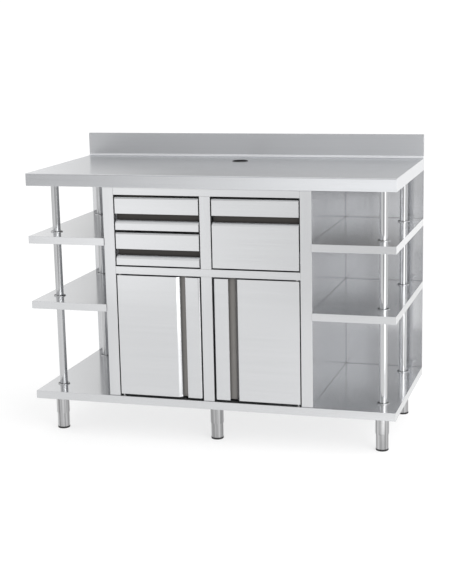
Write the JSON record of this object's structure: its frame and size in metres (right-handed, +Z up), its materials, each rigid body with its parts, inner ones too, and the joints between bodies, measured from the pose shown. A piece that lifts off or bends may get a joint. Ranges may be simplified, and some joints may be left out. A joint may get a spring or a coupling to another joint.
{
  "type": "waiter service station",
  "caption": "Stainless steel waiter station: worktop with rear upstand and cable outlet, sliding drawers, hinged doors, open end shelves on round posts, adjustable legs.",
  "frame": {"origin": "on the floor under the centre of the station's plan", "axes": "+X to the right along the front, +Y to the back, +Z up"},
  "size_m": [1.5, 0.7, 1.19],
  "materials": {
    "brushed_sheet": "brushed stainless steel sheet, satin",
    "polished_tube": "polished stainless steel tube",
    "black_plastic": "black moulded plastic",
    "nylon": "natural nylon",
    "zinc_rail": "zinc-plated rolled steel",
    "board": "moisture-proof particle board",
    "steel_pin": "turned stainless steel"
  },
  "bodies": {
    "root": {"worktop_sheet": "brushed_sheet", "worktop_stiffeners": "brushed_sheet", "back_panel": "brushed_sheet", "bottom_shelf": "brushed_sheet", "shelf_left_upper": "brushed_sheet", "shelf_left_lower": "brushed_sheet", "shelf_right_upper": "brushed_sheet", "shelf_right_lower": "brushed_sheet", "cabinet_side_left": "brushed_sheet", "cabinet_side_right": "brushed_sheet", "stile_left": "brushed_sheet", "stile_right": "brushed_sheet", "top_rail": "brushed_sheet", "mid_rail": "brushed_sheet", "mullion_upper": "brushed_sheet", "mullion_lower": "brushed_sheet", "drawer_partition": "brushed_sheet", "drawer_floor": "brushed_sheet", "runner_bearers": "brushed_sheet", "worktop_board": "board", "cable_grommet": "black_plastic", "door_catches": "black_plastic", "runner_fixed_rails": "zinc_rail", "hinge_pins": "steel_pin", "post_front_left": "polished_tube", "post_front_right": "polished_tube", "post_rear_left": "polished_tube", "post_rear_right": "polished_tube", "post_collars": "polished_tube", "leg_sleeves": "polished_tube"},
    "drawer_upper": {"drawer_upper_front": "brushed_sheet", "drawer_upper_box": "brushed_sheet", "drawer_upper_box_rails": "zinc_rail"},
    "drawer_upper_runner": {"drawer_upper_middle_rails": "zinc_rail"},
    "drawer_lower": {"drawer_lower_front": "brushed_sheet", "drawer_lower_box": "brushed_sheet", "drawer_lower_box_rails": "zinc_rail"},
    "drawer_lower_runner": {"drawer_lower_middle_rails": "zinc_rail"},
    "drawer_deep": {"drawer_deep_front": "brushed_sheet", "drawer_deep_box": "brushed_sheet", "drawer_deep_box_rails": "zinc_rail"},
    "drawer_deep_runner": {"drawer_deep_middle_rails": "zinc_rail"},
    "door_left": {"door_left_skin": "brushed_sheet", "door_left_liner": "brushed_sheet", "door_left_bushings": "nylon"},
    "door_right": {"door_right_skin": "brushed_sheet", "door_right_liner": "brushed_sheet", "door_right_bushings": "nylon"},
    "leg_front_left": {"leg_front_left": "polished_tube", "foot_front_left": "black_plastic"},
    "leg_front_middle": {"leg_front_middle": "polished_tube", "foot_front_middle": "black_plastic"},
    "leg_front_right": {"leg_front_right": "polished_tube", "foot_front_right": "black_plastic"},
    "leg_rear_left": {"leg_rear_left": "polished_tube", "foot_rear_left": "black_plastic"},
    "leg_rear_middle": {"leg_rear_middle": "polished_tube", "foot_rear_middle": "black_plastic"},
    "leg_rear_right": {"leg_rear_right": "polished_tube", "foot_rear_right": "black_plastic"}
  },
  "joints": [
    {"name": "drawer_upper_slide", "type": "slide", "parent": "root", "child": "drawer_upper", "axis": [0, -1, 0], "range_m": [0, 0.4]},
    {"name": "drawer_upper_runner_slide", "type": "slide", "parent": "root", "child": "drawer_upper_runner", "axis": [0, -1, 0], "range_m": [0, 0.2]},
    {"name": "drawer_lower_slide", "type": "slide", "parent": "root", "child": "drawer_lower", "axis": [0, -1, 0], "range_m": [0, 0.4]},
    {"name": "drawer_lower_runner_slide", "type": "slide", "parent": "root", "child": "drawer_lower_runner", "axis": [0, -1, 0], "range_m": [0, 0.2]},
    {"name": "drawer_deep_slide", "type": "slide", "parent": "root", "child": "drawer_deep", "axis": [0, -1, 0], "range_m": [0, 0.4]},
    {"name": "drawer_deep_runner_slide", "type": "slide", "parent": "root", "child": "drawer_deep_runner", "axis": [0, -1, 0], "range_m": [0, 0.2]},
    {"name": "door_left_hinge", "type": "hinge", "parent": "root", "child": "door_left", "pos_m": [-0.364, -0.337, 0.44], "axis": [0, 0, -1], "range_deg": [0, 105]},
    {"name": "door_right_hinge", "type": "hinge", "parent": "root", "child": "door_right", "pos_m": [0.364, -0.337, 0.44], "axis": [0, 0, 1], "range_deg": [0, 105]},
    {"name": "leg_front_left_slide", "type": "slide", "parent": "root", "child": "leg_front_left", "axis": [0, 0, -1], "range_m": [0, 0.03]},
    {"name": "leg_front_middle_slide", "type": "slide", "parent": "root", "child": "leg_front_middle", "axis": [0, 0, -1], "range_m": [0, 0.03]},
    {"name": "leg_front_right_slide", "type": "slide", "parent": "root", "child": "leg_front_right", "axis": [0, 0, -1], "range_m": [0, 0.03]},
    {"name": "leg_rear_left_slide", "type": "slide", "parent": "root", "child": "leg_rear_left", "axis": [0, 0, -1], "range_m": [0, 0.03]},
    {"name": "leg_rear_middle_slide", "type": "slide", "parent": "root", "child": "leg_rear_middle", "axis": [0, 0, -1], "range_m": [0, 0.03]},
    {"name": "leg_rear_right_slide", "type": "slide", "parent": "root", "child": "leg_rear_right", "axis": [0, 0, -1], "range_m": [0, 0.03]}
  ],
  "couplings": [
    {"joint": "drawer_upper_runner_slide", "follows": "drawer_upper_slide", "ratio": 0.5},
    {"joint": "drawer_lower_runner_slide", "follows": "drawer_lower_slide", "ratio": 0.5},
    {"joint": "drawer_deep_runner_slide", "follows": "drawer_deep_slide", "ratio": 0.5}
  ]
}
